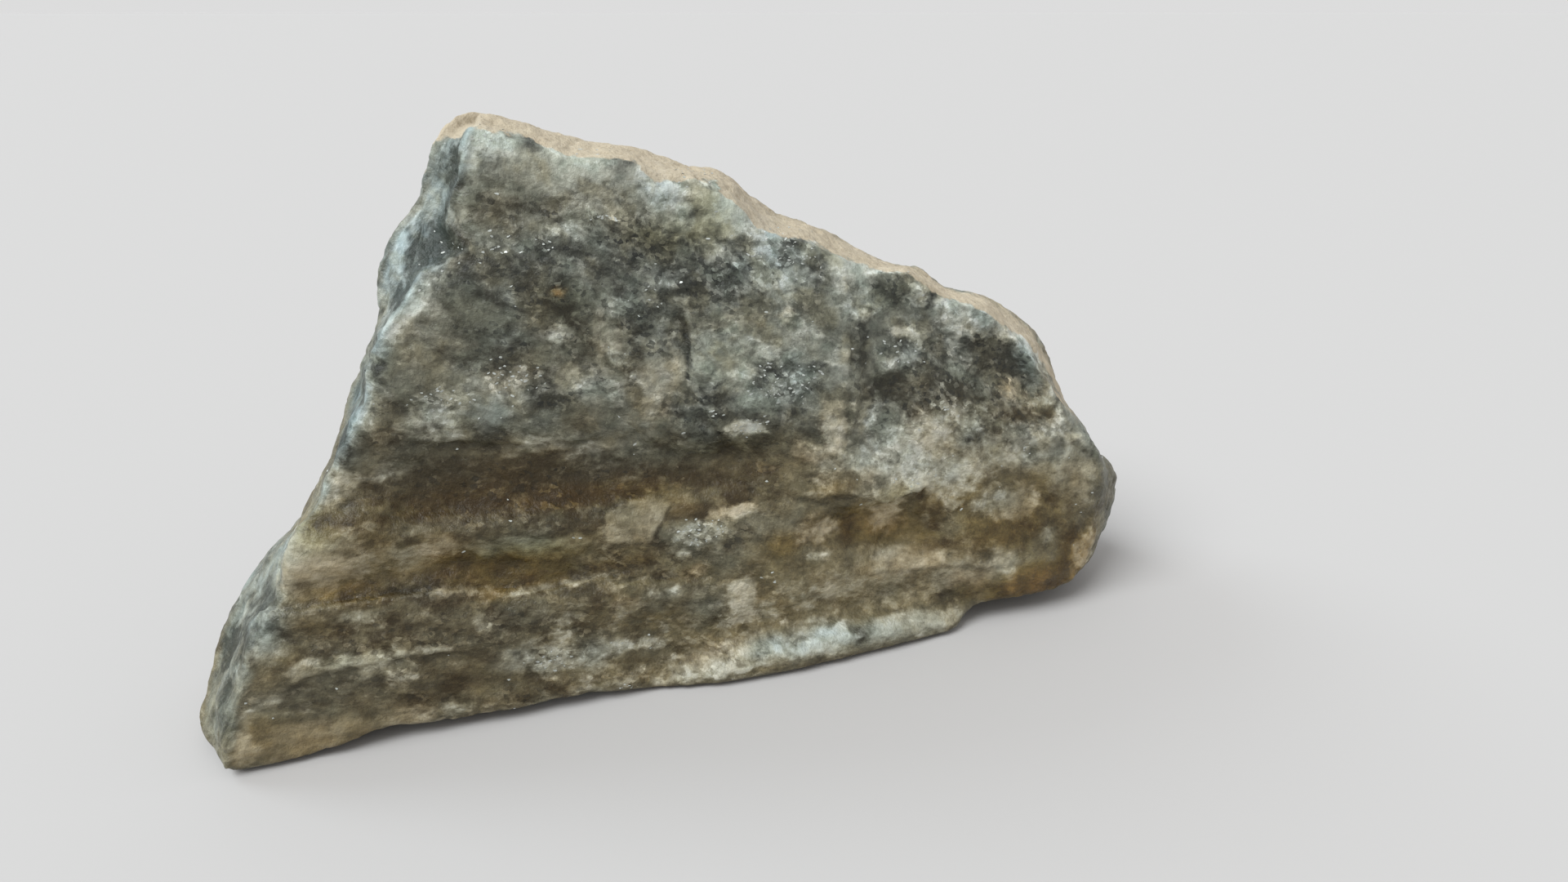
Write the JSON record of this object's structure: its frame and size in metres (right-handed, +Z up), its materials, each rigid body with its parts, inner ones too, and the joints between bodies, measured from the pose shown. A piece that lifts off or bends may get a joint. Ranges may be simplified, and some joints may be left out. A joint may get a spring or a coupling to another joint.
{
  "type": "quartz rock",
  "caption": "Rough hand-sized block of banded grey and white quartz with one broad broken face, standing on a flat foot.",
  "frame": {"origin": "on the surface that the stone stands on, under the middle of its outline", "axes": "+X along the foot of the broad front face, towards the low end; +Y back into the stone; +Z up"},
  "size_m": [0.1298, 0.0454, 0.0716],
  "materials": {
    "quartz_rock": "banded grey, white and brown quartz with fine mica sparkle; half-gloss, rough along the breaks"
  },
  "bodies": {
    "root": {"quartz_rock": "quartz_rock"}
  },
  "joints": []
}
